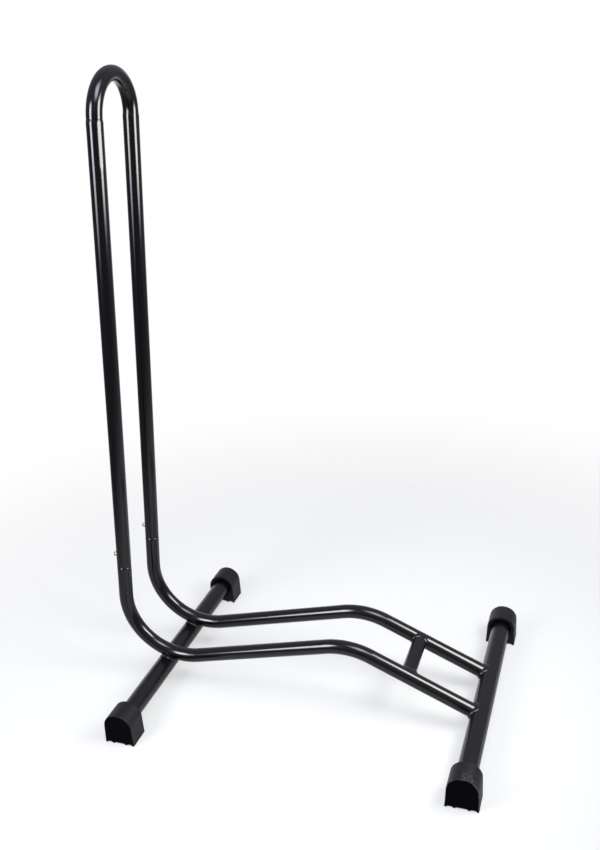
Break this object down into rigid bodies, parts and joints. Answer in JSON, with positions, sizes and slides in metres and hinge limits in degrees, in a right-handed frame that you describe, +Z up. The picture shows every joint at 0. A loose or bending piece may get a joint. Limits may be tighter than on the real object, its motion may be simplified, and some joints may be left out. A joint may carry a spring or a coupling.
{
  "type": "floor bike rack",
  "caption": "Floor bike rack of black bent steel tube: a removable upright hoop on two rails, on two cross tubes with moulded end caps.",
  "frame": {"origin": "on the floor, at the middle of the rack's bounding box", "axes": "+X from the upright end to the low end, +Y to the left, +Z up"},
  "size_m": [0.519, 0.384, 0.7896],
  "materials": {
    "powder_coated_tube": "gloss black powder coat on bent steel tube",
    "weld_bead": "rippled weld under the same powder coat",
    "moulded_cap": "matte black moulded plastic with a fine spark-eroded grain",
    "plated_steel": "polished nickel-plated steel",
    "spring_steel": "blued spring steel strip"
  },
  "bodies": {
    "rack": {"hoop_tube": "powder_coated_tube", "rear_foot_tube": "powder_coated_tube", "front_foot_tube": "powder_coated_tube", "spreader_tube": "powder_coated_tube", "left_rail": "powder_coated_tube", "right_rail": "powder_coated_tube", "rear_left_weld": "weld_bead", "front_left_weld": "weld_bead", "spreader_left_weld": "weld_bead", "rear_left_end_cap": "moulded_cap", "front_left_end_cap": "moulded_cap", "left_button_spring": "spring_steel", "rear_right_weld": "weld_bead", "front_right_weld": "weld_bead", "spreader_right_weld": "weld_bead", "rear_right_end_cap": "moulded_cap", "front_right_end_cap": "moulded_cap", "right_button_spring": "spring_steel"},
    "left_button": {"left_snap_button": "plated_steel"},
    "right_button": {"right_snap_button": "plated_steel"}
  },
  "joints": [
    {"name": "left_button_press", "type": "slide", "parent": "rack", "child": "left_button", "axis": [0.9976, 0, -0.0698], "range_m": [0, 0.0063], "stiffness_N_per_m": 2500, "deforming": ["left_button_spring"]},
    {"name": "right_button_press", "type": "slide", "parent": "rack", "child": "right_button", "axis": [0.9976, 0, -0.0698], "range_m": [0, 0.0063], "stiffness_N_per_m": 2500, "deforming": ["right_button_spring"]}
  ]
}
